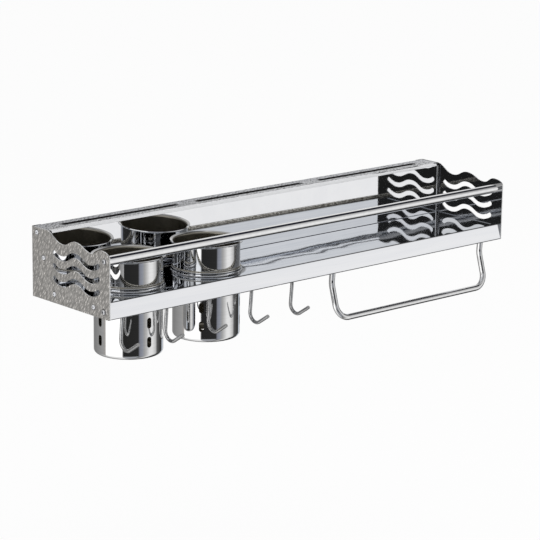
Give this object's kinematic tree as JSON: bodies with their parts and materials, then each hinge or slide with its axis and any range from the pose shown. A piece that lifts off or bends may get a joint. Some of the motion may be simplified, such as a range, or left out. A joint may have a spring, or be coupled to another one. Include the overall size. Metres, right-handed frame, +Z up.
{
  "type": "wall knife rack",
  "caption": "Wall-hung stainless kitchen rack with a slotted knife ledge, a guarded shelf, hanging utensil cups, sliding wire hooks and a swinging towel bar.",
  "frame": {"origin": "on the wall plane, midway along the rack, at the height of the hanging screws", "axes": "+X to the right along the rack, -Y out from the wall, +Z up"},
  "size_m": [0.6034, 0.1521, 0.1382],
  "materials": {
    "end_plate": "hammered outside, mirror polished inside",
    "ledge_sheet": "hammered",
    "panel_sheet": "mirror polished stainless",
    "shelf_sheet": "mirror polished stainless",
    "rod_steel": "polished",
    "plug_brass": "turned",
    "screw_steel": "polished",
    "wire_steel": "polished wire",
    "rivet_steel": "plain",
    "cup_steel": "mirror polished, drawn"
  },
  "bodies": {
    "rack": {"end_plate_left": "end_plate", "end_plate_right": "end_plate", "knife_ledge": "ledge_sheet", "back_panel": "panel_sheet", "shelf": "shelf_sheet", "guard_rod": "rod_steel", "guard_rod_plugs": "plug_brass", "guard_rod_screws": "screw_steel", "hook_rail": "rod_steel", "hook_rail_screws": "screw_steel", "plate_rivets_left": "rivet_steel", "plate_rivets_right": "rivet_steel", "panel_rivets": "rivet_steel", "cup_left": "cup_steel", "cup_right": "cup_steel"},
    "hook_1": {"hook_1": "wire_steel"},
    "hook_2": {"hook_2": "wire_steel"},
    "hook_3": {"hook_3": "wire_steel"},
    "hook_4": {"hook_4": "wire_steel"},
    "hook_5": {"hook_5": "wire_steel"},
    "towel_bar": {"towel_bar": "wire_steel"}
  },
  "joints": [
    {"name": "hook_1_slide", "type": "slide", "parent": "rack", "child": "hook_1", "axis": [1, 0, 0], "range_m": [-0.024, 0.027]},
    {"name": "hook_2_slide", "type": "slide", "parent": "rack", "child": "hook_2", "axis": [1, 0, 0], "range_m": [-0.028, 0.028]},
    {"name": "hook_3_slide", "type": "slide", "parent": "rack", "child": "hook_3", "axis": [1, 0, 0], "range_m": [-0.028, 0.028]},
    {"name": "hook_4_slide", "type": "slide", "parent": "rack", "child": "hook_4", "axis": [1, 0, 0], "range_m": [-0.028, 0.028]},
    {"name": "hook_5_slide", "type": "slide", "parent": "rack", "child": "hook_5", "axis": [1, 0, 0], "range_m": [-0.028, 0.056]},
    {"name": "towel_bar_swing", "type": "hinge", "parent": "rack", "child": "towel_bar", "pos_m": [0.1585, -0.1275, -0.0564], "axis": [1, 0, 0], "range_deg": [-55, 62]}
  ]
}
